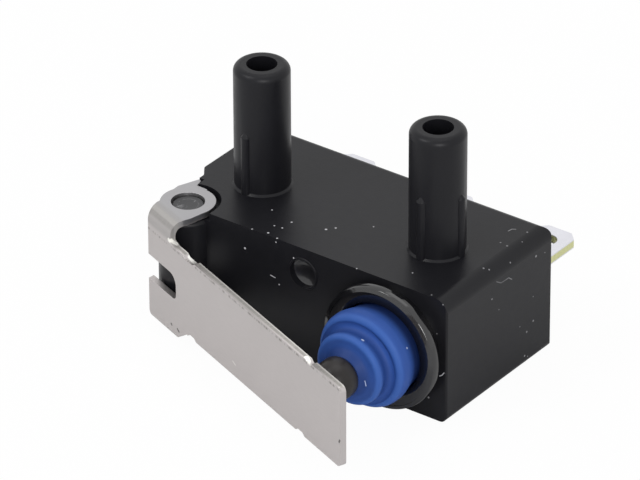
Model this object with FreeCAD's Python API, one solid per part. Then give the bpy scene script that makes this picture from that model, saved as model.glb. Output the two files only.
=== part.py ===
import FreeCAD, Part
import math
import os

# A sealed ultra-subminiature snap switch with a hinged lever, in millimetres.
# X runs from the lever's hinge to the plunger, -Y is the actuated front and +Y the terminal side,
# Z runs up along the two mounting posts. The origin is the centre of the housing's bottom face.
Vector = FreeCAD.Vector

# How far a cutting shape runs past what it cuts
overcut = 1.0

# Housing
housing_length = 13.3
housing_depth = 6.8
housing_height = 5.27
axis_from_top = 2.57
side_wall = 0.6
cover_wall = 0.8
front_wall = 1.5
top_end_round = 0.55
bottom_end_round = 0.3
back_top_round = 0.3
sharp_edge_round = 0.08
end_step = 0.39
end_step_from_front = 2.19
end_step_slope = 0.54
end_step_round = 0.6
end_step_root = 0.15
rear_opening_ledge = 0.2

# Mounting posts
post_spacing = 8.14
post_offset = 0.04
post_from_front = 3.05
post_radius = 1.09
post_height = 5.15
post_bore_radius = 0.59
post_bore_depth = 4.6
post_top_round = 0.28
post_foot = 0.08
rib_radius = 0.2
rib_proud = 0.13
rib_height = 2.65
seam_angle = 45

# Vent dimple on the front
dimple_from_centre = 0.06
dimple_from_top = 1.08
dimple_radius = 0.59
dimple_depth = 0.42
dimple_dish_depth = 0.2
dimple_lip = 0.1
dimple_lip_height = 0.05

# Hinge
hinge_from_end = 1.05
hinge_from_front = 0.33
pin_radius = 0.62
pin_running_gap = 0.03
pin_below_ear = 0.12
hub_radius = 1.15
hub_edge_round = 0.2

# Lever, a folded strip
sheet = 0.26
lever_tip_inset = 0.34
lever_width = 3.4
lever_open_angle = 21.94
lever_hub_gap = 0.09
lever_left_edge = 0.46
lever_tip_round = 0.22
bend_inner_radius = 0.3
ear_radius = 1.07
ear_right_edge = 1.16
neck_meets_eye = 235
neck_flare_end = 2.3
neck_fillet = 0.32
neck_fillet_rise = 0.1
ear_inset = 0.05
ear_floor_gap = 0.04
ear_wall_gap = 0.2
slot_length = 2.02
slot_width = 1.06
slot_below_middle = 0.07
slot_upper_round = 0.45
slot_lower_round = 0.24
stop_reach = 1.2
stop_edge = 1.19
stop_width = 0.14
stop_notch_width = 0.21
stop_notch_depth = 0.3
stop_gap = 0.03
stop_side_gap = 0.1
mark_depth = 0.11
mark_slope = 0.16
upper_near_mark = 2.1
upper_near_mark_length = 0.87
upper_far_mark = 10.96
upper_far_mark_length = 0.38
lower_near_mark = 2.39
lower_far_mark = 10.2
lower_mark_length = 0.63

# Retaining ring and rubber boot round the plunger
plunger_from_end = 2.595
ring_outer_radius = 2.54
ring_inner_radius = 2.03
ring_height = 0.82
ring_lip_round = 0.3
ring_inner_bevel = 0.08
ring_spigot_depth = 0.45
boot_flange_radius = 2.28
boot_flange_thickness = 0.45
boot_base_radius = 1.96
boot_rim_radius = 1.94
boot_rim_height = 1.93
boot_groove_radius = 1.40
boot_groove_height = 1.72
boot_collar_radius = 1.49
boot_collar_height = 2.70
boot_rim_round = 0.3
boot_groove_slope = 0.13
boot_collar_round = 0.13
boot_collar_land = 0.36
boot_dish = 0.14
boot_dish_radius = 0.95
boot_lip_edge = 0.06
boot_skin = 0.28

# Plunger
plunger_radius = 0.83
plunger_nose_flat = 0.02
plunger_tip_height = 4.22
plunger_neck_radius = 0.62
plunger_neck_length = 0.94
plunger_nose_round = 0.2
plunger_neck_height = 2.04
plunger_guide_gap = 0.03
plunger_flange_radius = 1.0
plunger_flange_thickness = 0.3
plunger_core_radius = 0.5
plunger_core_length = 1.23
spigot_radius = 0.3
spigot_length = 0.3
hook_reach = 0.98
hook_thickness = 0.3
hook_from_core_end = 0.3
hook_width = 0.5

# Terminals
terminal_from_end = 2.0
terminal_offset = 0.07
terminal_width = 1.7
terminal_thickness = 0.38
terminal_reach = 3.38
terminal_chamfer = 0.33
solder_hole_radius = 0.42
solder_hole_from_tip = 0.95
resin_depth = 0.5
base_fit = 0.02

# Switching mechanism
blade_sheet = 0.12
blade_setback = 1.85
blade_width = 2.6
blade_window_width = 1.5
blade_tail = 0.27
blade_tongue_width = 1.2
blade_tongue_length = 2.9
blade_tab = 0.3
blade_end_round = 0.3
pivot_gap = 0.03
pivot_notch = 0.12
leg_width = 0.4
leg_ahead_of_blade = 0.35
arm_to_base = 0.42
bridge_depth = 0.2
contact_radius = 0.42
contact_height = 0.15
contact_inset = 0.4
contact_from_terminal = 1.5
contact_gap = 0.45
contact_rest_gap = 0.02
snap_spring_radius = 0.36
snap_spring_wire = 0.12
snap_spring_turns = 5
return_spring_radius = 0.46
return_spring_wire = 0.13
return_spring_turns = 4
spring_seat_gap = 0.03
spring_boss_height = 0.3

# Places worked out from the values above
left_end = -housing_length / 2
right_end = housing_length / 2
front = -housing_depth / 2
back = housing_depth / 2
middle = housing_height - axis_from_top
ear_top = housing_height - ear_inset
ear_bottom = 2 * middle - ear_top
hub_top = ear_top - sheet - ear_floor_gap
hub_bottom = ear_bottom + sheet + ear_floor_gap
hinge_x = left_end + hinge_from_end
hinge_y = front + hinge_from_front
plunger_x = right_end - plunger_from_end
recess_radius = ear_radius + ear_wall_gap
lever_inner = hub_radius + lever_hub_gap
lever_outer = lever_inner + sheet
cavity_front = front + front_wall
resin_front = back - resin_depth
boot_back = front + ring_spigot_depth + boot_flange_thickness
core_end = cavity_front + plunger_flange_thickness + plunger_core_length
blade_y = cavity_front + blade_setback
pivot_x = plunger_x + plunger_radius + blade_tail
blade_start = pivot_x - pivot_gap
window_start = blade_start - blade_tail
contact_x = terminal_offset + left_end + terminal_from_end + contact_from_terminal
free_end = contact_x - contact_inset
window_end = free_end + blade_tongue_length
closed_face = blade_y - blade_sheet / 2 - contact_height - contact_rest_gap
open_face = blade_y + blade_sheet / 2 + contact_height + contact_gap + contact_rest_gap
arm_back = open_face + contact_height + leg_width
base_front = arm_back + arm_to_base
open_sine = math.sin(math.radians(lever_open_angle))
open_cosine = math.cos(math.radians(lever_open_angle))
lever_length = (right_end - lever_tip_inset - hinge_x + lever_inner * open_sine) / open_cosine


def block(x0, x1, y0, y1, z0, z1):
    """A box between two corners."""
    return Part.makeBox(x1 - x0, y1 - y0, z1 - z0, Vector(x0, y0, z0))


def rounded_face(corners):
    """A flat face in the XY plane from (x, y, radius) corners, each rounded by a tangent arc."""
    edges = []
    ends = []
    count = len(corners)
    for i, (x, y, radius) in enumerate(corners):
        corner = Vector(x, y, 0)
        before = (Vector(*corners[i - 1][:2], 0) - corner).normalize()
        after = (Vector(*corners[(i + 1) % count][:2], 0) - corner).normalize()
        if radius <= 0:
            ends.append((corner, corner, None))
            continue
        half = before.getAngle(after) / 2
        reach = radius / math.tan(half)
        inward = (before + after).normalize()
        crown = corner + inward * (radius / math.sin(half) - radius)
        ends.append((corner + before * reach, corner + after * reach, crown))
    for i, (start, end, crown) in enumerate(ends):
        if crown is not None:
            edges.append(Part.Arc(start, crown, end).toShape())
        following = ends[(i + 1) % count][0]
        if end.distanceToPoint(following) > 1e-6:
            edges.append(Part.LineSegment(end, following).toShape())
    return Part.Face(Part.Wire(edges))


def prism(corners, z0, z1):
    """A rounded outline in the XY plane, raised from z0 to z1."""
    face = rounded_face(corners)
    face.translate(Vector(0, 0, z0))
    return face.extrude(Vector(0, 0, z1 - z0))


def side_prism(corners, y0, y1):
    """A rounded outline drawn in the XZ plane, carried along Y from y0 to y1."""
    face = rounded_face(corners)
    face.rotate(Vector(0, 0, 0), Vector(1, 0, 0), 90)
    face.translate(Vector(0, y0, 0))
    return face.extrude(Vector(0, y1 - y0, 0))


def end_prism(corners, x0, x1):
    """A rounded outline drawn in the YZ plane, carried along X from x0 to x1."""
    face = rounded_face(corners)
    face.rotate(Vector(0, 0, 0), Vector(1, 1, 1), 120)
    face.translate(Vector(x0, 0, 0))
    return face.extrude(Vector(x1 - x0, 0, 0))


def turned(corners, x=None):
    """A rounded (radius, y) outline turned about the Y line through x at mid height."""
    face = rounded_face(corners)
    axis_x = plunger_x if x is None else x
    face.translate(Vector(axis_x, 0, middle))
    return face.revolve(Vector(axis_x, 0, middle), Vector(0, 1, 0), 360)


def turned_up(corners):
    """A rounded (radius, z) outline turned about the Z axis."""
    face = rounded_face(corners)
    face.rotate(Vector(0, 0, 0), Vector(1, 0, 0), 90)
    return face.revolve(Vector(0, 0, 0), Vector(0, 0, 1), 360)


def disc_y(radius, x, z, y0, y1):
    """A round bar along Y."""
    return Part.makeCylinder(radius, y1 - y0, Vector(x, y0, z), Vector(0, 1, 0))


def disc_z(radius, x, y, z0, z1):
    """A round bar along Z."""
    return Part.makeCylinder(radius, z1 - z0, Vector(x, y, z0))


def coil(radius, wire, turns, start, end):
    """A helical spring between two points, its wire a square with corners on the wire's round."""
    line = end - start
    length = line.Length - wire
    pitch = length / turns
    helix = Part.makeHelix(pitch, length, radius)
    slope = math.atan2(pitch, 2 * math.pi * radius)
    ring = []
    for side in range(5):
        angle = math.radians(90 * side)
        across, up = math.cos(angle) * wire / 2, math.sin(angle) * wire / 2
        ring.append(Vector(radius + across, -up * math.sin(slope), up * math.cos(slope)))
    section = Part.makePolygon(ring)
    spring = Part.Wire(helix).makePipeShell([section], True, True)
    spring.translate(Vector(0, 0, wire / 2))
    turn = FreeCAD.Rotation(Vector(0, 0, 1), line)
    spring.Placement = FreeCAD.Placement(start, turn).multiply(spring.Placement)
    return spring


def housing_plan():
    """Plan of the housing: a long box whose hinge end steps in ahead of the terminals."""
    step_y = front + end_step_from_front
    stepped = left_end + end_step
    return [
        (right_end, back, sharp_edge_round),
        (left_end, back, sharp_edge_round),
        (left_end, step_y + end_step_slope, end_step_round),
        (stepped, step_y, end_step_root),
        (stepped, front, 0),
        (right_end, front, sharp_edge_round),
    ]


def housing_body():
    """The outer block, its far end rounded top and bottom, with the hinge hub on its near corner."""
    section = [
        (left_end, 0, sharp_edge_round),
        (right_end, 0, bottom_end_round),
        (right_end, housing_height, top_end_round),
        (left_end, housing_height, sharp_edge_round),
    ]
    side = [
        (front, 0, 0),
        (back, 0, 0),
        (back, housing_height, back_top_round),
        (front, housing_height, 0),
    ]
    body = side_prism(section, front, back)
    body = body.common(prism(housing_plan(), 0, housing_height))
    body = body.common(end_prism(side, left_end, right_end))
    hub = turned_up([
        (0, hub_bottom, 0),
        (hub_radius, hub_bottom, hub_edge_round),
        (hub_radius, hub_top, hub_edge_round),
        (0, hub_top, 0),
    ])
    hub.translate(Vector(hinge_x, hinge_y, 0))
    return body.fuse(hub)


def ear_recess(z0, z1):
    """Pocket that an ear of the lever turns in, with a step for the lever's stop."""
    beyond = 2 * hinge_from_end
    stop_y = hinge_y + ear_stop_height() + stop_gap
    stop_x = hinge_x - ear_stop_side() + stop_side_gap
    pocket = disc_z(recess_radius, hinge_x, hinge_y, z0, z1)
    corner = block(hinge_x - beyond, hinge_x + recess_radius, hinge_y - beyond, hinge_y, z0, z1)
    side = block(hinge_x - beyond, stop_x, hinge_y - beyond, stop_y, z0, z1)
    return pocket.fuse([corner, side])


def ear_stop_height():
    """How far behind the hinge axis the stop's outer corner stands with the lever open."""
    return stop_edge * open_sine + stop_reach * open_cosine


def ear_stop_side():
    """How far to the side of the hinge axis the stop's inner corner stands with the lever open."""
    return (stop_edge - stop_width) * open_cosine - stop_reach * open_sine


def post(x, rib_angles):
    """A hollow mounting post with crush ribs round its lower half."""
    y = front + post_from_front
    top = housing_height + post_height
    body = turned_up([
        (0, housing_height - side_wall / 2, 0),
        (post_radius + post_foot, housing_height - side_wall / 2, 0),
        (post_radius + post_foot, housing_height, 0),
        (post_radius, housing_height + post_foot, 0),
        (post_radius, top, post_top_round),
        (0, top, 0),
    ])
    body.rotate(Vector(0, 0, 0), Vector(0, 0, 1), seam_angle)
    ribs = []
    for angle in rib_angles:
        reach = post_radius + rib_proud - rib_radius
        rib_x = reach * math.cos(math.radians(angle))
        rib_y = reach * math.sin(math.radians(angle))
        rib_top = housing_height + rib_height - rib_radius
        ribs.append(disc_z(rib_radius, rib_x, rib_y, housing_height - side_wall / 2, rib_top))
        ribs.append(Part.makeCone(rib_radius, rib_radius / 3, rib_radius, Vector(rib_x, rib_y, rib_top)))
    body = body.fuse(ribs)
    body = body.cut(disc_z(post_bore_radius, 0, 0, top - post_bore_depth, top))
    body.translate(Vector(x, y, 0))
    return body


def case_cavity():
    """Room for the switching mechanism, stepped wider at the back where the base seats."""
    inner_left = left_end + end_step + side_wall
    inner_right = right_end - side_wall - rear_opening_ledge
    corner_x = hinge_x + recess_radius + side_wall / 2
    corner_y = hinge_y + recess_radius + side_wall
    plan = [
        (inner_right, base_front, 0),
        (inner_left, base_front, 0),
        (inner_left, corner_y, 0),
        (corner_x, corner_y, 0),
        (corner_x, cavity_front, 0),
        (inner_right, cavity_front, 0),
    ]
    room = prism(plan, cover_wall, housing_height - cover_wall)
    opening = block(left_end + side_wall, right_end - side_wall, base_front, back,
                    side_wall, housing_height - side_wall)
    return room.fuse(opening)


def dimple():
    """Round blind vent with a dished floor."""
    x = dimple_from_centre
    z = housing_height - dimple_from_top
    ball = (dimple_radius ** 2 + dimple_dish_depth ** 2) / (2 * dimple_dish_depth)
    straight = dimple_depth - dimple_dish_depth
    sunk = ball - dimple_dish_depth
    hole = disc_y(dimple_radius, x, z, front - dimple_lip_height, front + straight)
    dish = Part.makeSphere(ball, Vector(x, front + straight - sunk, z))
    dish = dish.common(disc_y(dimple_radius, x, z, front, front + 2 * dimple_depth))
    return hole.fuse(dish)


def dimple_rim():
    """Low raised rim round the vent."""
    x = dimple_from_centre
    z = housing_height - dimple_from_top
    outer = dimple_radius + dimple_lip
    rim = Part.makeCone(outer, outer - dimple_lip_height, 2 * dimple_lip_height,
                        Vector(x, front + dimple_lip_height, z), Vector(0, -1, 0))
    return rim


def make_case():
    """Moulded housing: body, hub and posts in one piece, open at the back."""
    body = housing_body()
    half_spacing = post_spacing / 2
    body = body.fuse([post(-half_spacing - post_offset, (90, 270)),
                      post(half_spacing - post_offset, (0, 90, 180, 270))])
    body = body.fuse(dimple_rim())
    seat = disc_y(boot_flange_radius, plunger_x, middle, front - overcut, boot_back)
    guide = disc_y(plunger_radius + plunger_guide_gap, plunger_x, middle, front, cavity_front + overcut)
    cuts = [
        ear_recess(-overcut, hub_bottom),
        ear_recess(hub_top, housing_height + overcut),
        disc_z(pin_radius, hinge_x, hinge_y, 0, housing_height),
        case_cavity(), seat, guide, dimple(),
    ]
    for shape in cuts:
        body = body.cut(shape)
    return body.removeSplitter()


def make_hinge_pin():
    """Plain pin through the hub and both ears."""
    return disc_z(pin_radius, hinge_x, hinge_y, ear_bottom + pin_below_ear, ear_top - pin_below_ear)


def lever_section():
    """Channel section of the folded end, in (y, z): a web with an ear folded back at each side."""
    outer = bend_inner_radius + sheet
    far = stop_reach + sheet
    return [
        (-lever_outer, ear_bottom, outer),
        (far, ear_bottom, 0),
        (far, ear_bottom + sheet, 0),
        (-lever_inner, ear_bottom + sheet, bend_inner_radius),
        (-lever_inner, ear_top - sheet, bend_inner_radius),
        (far, ear_top - sheet, 0),
        (far, ear_top, 0),
        (-lever_outer, ear_top, outer),
    ]


def lever_neck(edge, edge_back, z0, z1):
    """Neck that joins an ear's eye to the web, out to a given edge beside the bend."""
    angle = math.radians(neck_meets_eye)
    return prism([
        (-lever_left_edge, -lever_outer, 0),
        (edge, -lever_outer, 0),
        (edge, edge_back, 0),
        (ear_right_edge, -ear_radius / 2, 0),
        (ear_radius, 0, 0),
        (0, 0, 0),
        (ear_radius * math.cos(angle), ear_radius * math.sin(angle), 0),
    ], z0, z1)


def lever_plan(z0, z1):
    """Plan of the lever: the long web, and each ear with its neck, eye and stop."""
    web = block(-lever_left_edge, lever_length, -lever_outer, -lever_inner, z0, z1)
    eye = disc_z(ear_radius, 0, 0, z0, z1)
    stop = prism([
        (0, 0, 0),
        (-ear_radius / 3, ear_radius, 0),
        (-stop_edge + stop_width + stop_notch_width, stop_reach - stop_notch_depth, 0),
        (-stop_edge + stop_width, stop_reach, 0),
        (-stop_edge, stop_reach, 0),
        (-stop_edge, ear_radius / 4, 0),
        (-ear_radius, 0, 0),
    ], z0, z1)
    lower_neck = lever_neck(neck_flare_end, -lever_inner, z0, middle)
    upper_neck = lever_neck(ear_right_edge, -ear_radius, middle, z1)
    return web.fuse([eye, stop, lower_neck, upper_neck])


def lever_side(y0, y1):
    """Side outline of the lever: full height at the ears, flared below, then the narrower strip."""
    low = middle - lever_width / 2
    high = middle + lever_width / 2
    reach = 2 * ear_radius
    return side_prism([
        (-reach, ear_bottom, 0),
        (ear_right_edge, ear_bottom, neck_fillet),
        (neck_flare_end, low, neck_fillet),
        (lever_length, low, lever_tip_round),
        (lever_length, high, lever_tip_round),
        (ear_right_edge + neck_fillet, high, 0),
        (ear_right_edge, high + neck_fillet_rise, 0),
        (ear_right_edge, ear_top, 0),
        (-reach, ear_top, 0),
    ], y0, y1)


def edge_mark(start, length, edge, inward, y0, y1):
    """Shallow sloping nick in a long edge, left where the strip was cut from its carrier."""
    end = start + length
    floor = edge + inward * mark_depth
    outside = edge - inward * mark_depth
    return side_prism([
        (start, outside, 0),
        (start, edge, 0),
        (start + mark_slope, floor, 0),
        (end - mark_slope, floor, 0),
        (end, edge, 0),
        (end, outside, 0),
    ], y0, y1)


def lever_cuts(y0, y1):
    """The slot in the hinge edge and the shallow marks in both long edges."""
    slot_low = middle - slot_below_middle - slot_width / 2
    slot_high = slot_low + slot_width
    slot_start = -lever_left_edge - overcut
    slot_end = -lever_left_edge + slot_length
    cuts = [side_prism([
        (slot_start, slot_low, 0),
        (slot_end, slot_low, slot_lower_round),
        (slot_end, slot_high, slot_upper_round),
        (slot_start, slot_high, 0),
    ], y0, y1)]
    low = middle - lever_width / 2
    high = middle + lever_width / 2
    cuts.append(edge_mark(upper_near_mark, upper_near_mark_length, high, -1, y0, y1))
    cuts.append(edge_mark(upper_far_mark, upper_far_mark_length, high, -1, y0, y1))
    for start in (lower_near_mark, lower_far_mark):
        cuts.append(edge_mark(start, lower_mark_length, low, 1, y0, y1))
    return cuts


def make_lever():
    """Actuating lever: a channel section trimmed by its plan and by its side outline."""
    y0 = -2 * lever_outer
    y1 = 2 * lever_outer
    folded = end_prism(lever_section(), -2 * ear_radius, lever_length)
    lever = folded.common(lever_plan(0, housing_height))
    lever = lever.common(lever_side(y0, y1))
    holes = [disc_z(pin_radius + pin_running_gap, 0, 0, 0, housing_height)]
    lever = lever.cut(holes + lever_cuts(y0, -lever_inner + bend_inner_radius / 4))
    lever.rotate(Vector(0, 0, 0), Vector(0, 0, 1), -lever_open_angle)
    lever.translate(Vector(hinge_x, hinge_y, 0))
    return lever


def make_boot_ring():
    """Glossy ring that clamps the boot's flange, pressed into the housing's front."""
    spigot = front + ring_spigot_depth
    lip = front - ring_height
    return turned([
        (ring_inner_radius, spigot, 0),
        (boot_flange_radius, spigot, 0),
        (boot_flange_radius, front, 0),
        (ring_outer_radius, front, 0),
        (ring_outer_radius, lip, ring_lip_round),
        (ring_inner_radius + ring_inner_bevel, lip, 0),
        (ring_inner_radius, lip + ring_inner_bevel, 0),
    ])


def make_boot():
    """Moulded rubber boot: a flange, two stepped bellows tiers and a collar on the plunger's neck."""
    skin = boot_skin
    neck = plunger_neck_radius + plunger_guide_gap
    neck_back = front - plunger_neck_height - plunger_guide_gap
    neck_front = neck_back - plunger_neck_length + 2 * plunger_guide_gap
    rim = front - boot_rim_height
    groove = front - boot_groove_height
    collar = front - boot_collar_height
    flange_front = front + ring_spigot_depth
    base_inner = boot_base_radius - skin
    room = plunger_radius + plunger_guide_gap
    return turned([
        (boot_flange_radius, boot_back, 0),
        (boot_flange_radius, flange_front, 0),
        (boot_base_radius, flange_front, 0),
        (boot_base_radius, front - boot_rim_height / 2, 0),
        (boot_rim_radius, rim, boot_rim_round),
        (boot_groove_radius + boot_groove_slope, rim + boot_groove_slope / 2, 0),
        (boot_groove_radius, groove, 0),
        (boot_collar_radius, collar, boot_collar_round),
        (boot_collar_radius - boot_collar_land, collar + boot_dish / 4, 0),
        (boot_dish_radius, collar + boot_dish, 0),
        (neck + boot_lip_edge, neck_front, 0),
        (neck, neck_front, 0),
        (neck, neck_back, 0),
        (room, neck_back, 0),
        (room + boot_groove_slope, groove + skin, 0),
        (base_inner, rim + skin, 0),
        (base_inner, boot_back, 0),
    ])


def make_plunger():
    """Moulded plunger: domed nose, neck for the boot, guided shaft, flange, spring spigot and hook."""
    tip = front - plunger_tip_height
    neck_front = front - plunger_neck_height - plunger_neck_length
    neck_back = front - plunger_neck_height
    flange_back = cavity_front + plunger_guide_gap + plunger_flange_thickness
    body = turned([
        (0, tip, 0),
        (plunger_radius, tip, plunger_radius - plunger_nose_flat),
        (plunger_radius, neck_front, plunger_nose_round),
        (plunger_neck_radius, neck_front, 0),
        (plunger_neck_radius, neck_back, 0),
        (plunger_radius, neck_back, 0),
        (plunger_radius, cavity_front + plunger_guide_gap, 0),
        (plunger_flange_radius, cavity_front + plunger_guide_gap, 0),
        (plunger_flange_radius, flange_back, 0),
        (plunger_core_radius, flange_back, 0),
        (plunger_core_radius, core_end, 0),
        (spigot_radius, core_end, 0),
        (spigot_radius, core_end + spigot_length, 0),
        (0, core_end + spigot_length, 0),
    ])
    hook_back = core_end - hook_from_core_end
    hook = block(plunger_x - hook_reach, plunger_x, hook_back - hook_thickness, hook_back,
                 middle - hook_width / 2, middle + hook_width / 2)
    return body.fuse(hook).removeSplitter()


def terminal_x(place):
    """Centre line of a terminal: -1 at the hinge end, 0 in the middle, 1 at the plunger's end."""
    return terminal_offset + place * (right_end - terminal_from_end)


def terminal_tab(place, inner_end):
    """Flat solder tab from its chamfered tip to inner_end, with its solder hole."""
    x = terminal_x(place)
    tip = back + terminal_reach
    half = terminal_width / 2
    outline = [
        (x - half, inner_end, 0),
        (x + half, inner_end, 0),
        (x + half, tip - terminal_chamfer, 0),
        (x + half - terminal_chamfer, tip, 0),
        (x - half + terminal_chamfer, tip, 0),
        (x - half, tip - terminal_chamfer, 0),
    ]
    low = middle - terminal_thickness / 2
    tab = prism(outline, low, low + terminal_thickness)
    return tab.cut(disc_z(solder_hole_radius, x, tip - solder_hole_from_tip, 0, housing_height))


def flat_leg(x0, x1, y0, y1):
    """A stretch of terminal inside the housing, in the plane of its tab."""
    low = middle - terminal_thickness / 2
    return block(x0, x1, y0, y1, low, low + terminal_thickness)


def make_common_terminal():
    """Terminal whose inner leg carries the notch that the blade rocks in."""
    tab_end = base_front + side_wall / 2
    tab = terminal_tab(1, tab_end)
    leg = flat_leg(pivot_x, pivot_x + leg_width, blade_y - leg_ahead_of_blade, tab_end + bridge_depth)
    bridge = flat_leg(terminal_x(1), pivot_x + leg_width, tab_end, tab_end + bridge_depth)
    notch = prism([
        (pivot_x, blade_y - pivot_notch, 0),
        (pivot_x + pivot_notch, blade_y, 0),
        (pivot_x, blade_y + pivot_notch, 0),
    ], 0, housing_height)
    return tab.fuse([leg, bridge]).cut(notch).removeSplitter()


def make_closed_terminal():
    """Normally closed terminal: its leg hooks round the blade's free end to the front contact."""
    low = closed_face - contact_height - leg_width
    outer = terminal_x(-1) - leg_width / 2
    tab = terminal_tab(-1, base_front)
    upright = flat_leg(outer, outer + leg_width, low, base_front)
    arm = flat_leg(outer, contact_x + contact_radius, low, low + leg_width)
    return tab.fuse([upright, arm]).removeSplitter()


def make_open_terminal():
    """Normally open terminal: its arm runs behind the blade to the back contact."""
    tab = terminal_tab(0, arm_back - leg_width)
    arm = flat_leg(contact_x - contact_radius, terminal_x(0), arm_back - leg_width, arm_back)
    return tab.fuse(arm).removeSplitter()


def contact_button(face, direction):
    """A contact button with a bevelled face, on the contacts' line."""
    seat = face + direction * contact_height
    bevel = face + direction * contact_height / 2
    return turned([
        (0, face, 0),
        (contact_radius - contact_height / 2, face, 0),
        (contact_radius, bevel, 0),
        (contact_radius, seat, 0),
        (0, seat, 0),
    ], contact_x)


def make_moving_contact():
    """Double-headed contact rivet through the blade."""
    inner = blade_sheet / 2
    outer = inner + contact_height
    shank = contact_radius / 2
    shapes = [disc_y(shank, contact_x, middle, blade_y - inner, blade_y + inner)]
    shapes.append(contact_button(blade_y - outer, 1))
    shapes.append(contact_button(blade_y + outer, -1))
    return shapes[0].fuse(shapes[1:])


def make_moving_blade():
    """Contact blade: a framed window round the plunger and the spring, then a tapered tongue."""
    half = blade_width / 2
    tongue = blade_tongue_width / 2
    shoulder = window_end - (half - tongue)
    y0 = blade_y - blade_sheet / 2
    y1 = blade_y + blade_sheet / 2
    outline = side_prism([
        (blade_start, middle - half, 0),
        (blade_start, middle + half, 0),
        (window_end, middle + half, 0),
        (shoulder, middle + tongue, 0),
        (free_end, middle + tongue, blade_end_round),
        (free_end, middle - tongue, blade_end_round),
        (shoulder, middle - tongue, 0),
        (window_end, middle - half, 0),
    ], y0, y1)
    opening = blade_window_width / 2
    hook = 2 * snap_spring_wire
    edge = window_end + blade_tab
    tab = edge + blade_tab
    window = side_prism([
        (window_start, middle - opening, 0),
        (window_start, middle + opening, 0),
        (edge, middle + opening, 0),
        (edge, middle + hook, 0),
        (tab, middle + hook, 0),
        (tab, middle - hook, 0),
        (edge, middle - hook, 0),
        (edge, middle - opening, 0),
    ], y0 - overcut, y1 + overcut)
    rivet = disc_y(contact_radius / 2, contact_x, middle, y0 - overcut, y1 + overcut)
    return outline.cut(window).cut(rivet)


def make_snap_spring():
    """Tension spring from the plunger's hook to the tab in the blade's window."""
    hook_y = core_end - hook_from_core_end - hook_thickness / 2
    start = Vector(plunger_x - hook_reach - spring_seat_gap, hook_y, middle)
    end = Vector(window_end + 2 * blade_tab + spring_seat_gap, blade_y, middle)
    return coil(snap_spring_radius, snap_spring_wire, snap_spring_turns, start, end)


def make_return_spring():
    """Compression spring that pushes the plunger out, standing on the base."""
    start = Vector(plunger_x, core_end + spring_seat_gap / 3, middle)
    end = Vector(plunger_x, base_front - spring_seat_gap / 3, middle)
    return coil(return_spring_radius, return_spring_wire, return_spring_turns, start, end)


def terminal_slots(y0, y1):
    """Slots that the three terminals pass through."""
    low = middle - terminal_thickness / 2
    high = middle + terminal_thickness / 2
    half = terminal_width / 2
    return [block(terminal_x(n) - half, terminal_x(n) + half, y0, y1, low, high) for n in (-1, 0, 1)]


def rear_plug(y0, y1, gap):
    """A block that fills the housing's rear opening between y0 and y1."""
    return block(left_end + side_wall + gap, right_end - side_wall - gap, y0, y1,
                 side_wall + gap, housing_height - side_wall - gap)


def make_base_block():
    """Moulded base that carries the terminals, with a boss for the return spring."""
    base = rear_plug(base_front, resin_front, base_fit)
    boss = disc_y(spigot_radius, plunger_x, middle, base_front - spring_boss_height, base_front)
    base = base.fuse(boss)
    for slot in terminal_slots(base_front + side_wall / 2, back):
        base = base.cut(slot)
    leg_low = middle - terminal_thickness / 2
    leg_room = block(pivot_x, pivot_x + leg_width,
                     base_front - overcut, base_front + side_wall / 2 + bridge_depth,
                     leg_low, leg_low + terminal_thickness)
    front_slots = terminal_slots(base_front - overcut, base_front + side_wall)[:2]
    for slot in front_slots + [leg_room]:
        base = base.cut(slot)
    return base


def make_seal_resin():
    """Poured resin that seals the terminals at the back."""
    resin = rear_plug(resin_front, back, 0)
    for slot in terminal_slots(resin_front - overcut, back + overcut):
        resin = resin.cut(slot)
    return resin


def save(name, shape):
    """Write one node."""
    solids = shape.Solids
    if len(solids) != 1 or not shape.isValid():
        print("CHECK", name, "solids", len(solids), "valid", shape.isValid())
    solids[0].exportStep("parts/" + name + ".step")
    box = shape.BoundBox
    print("%-18s %8.3f mm3  x %6.2f %6.2f  y %6.2f %6.2f  z %6.2f %6.2f" % (
        name, shape.Volume, box.XMin, box.XMax, box.YMin, box.YMax, box.ZMin, box.ZMax))


os.makedirs("parts", exist_ok=True)
save("case", make_case())
save("hinge_pin", make_hinge_pin())
save("lever", make_lever())
save("boot_ring", make_boot_ring())
save("boot", make_boot())
save("plunger", make_plunger())
save("common_terminal", make_common_terminal())
save("closed_terminal", make_closed_terminal())
save("open_terminal", make_open_terminal())
save("closed_contact", contact_button(closed_face, -1))
save("open_contact", contact_button(open_face, 1))
save("moving_contact", make_moving_contact())
save("moving_blade", make_moving_blade())
save("snap_spring", make_snap_spring())
save("return_spring", make_return_spring())
save("base_block", make_base_block())
save("seal_resin", make_seal_resin())
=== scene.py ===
import math
import bmesh
import bpy
import numpy as np
from mathutils import Matrix, Vector


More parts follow.
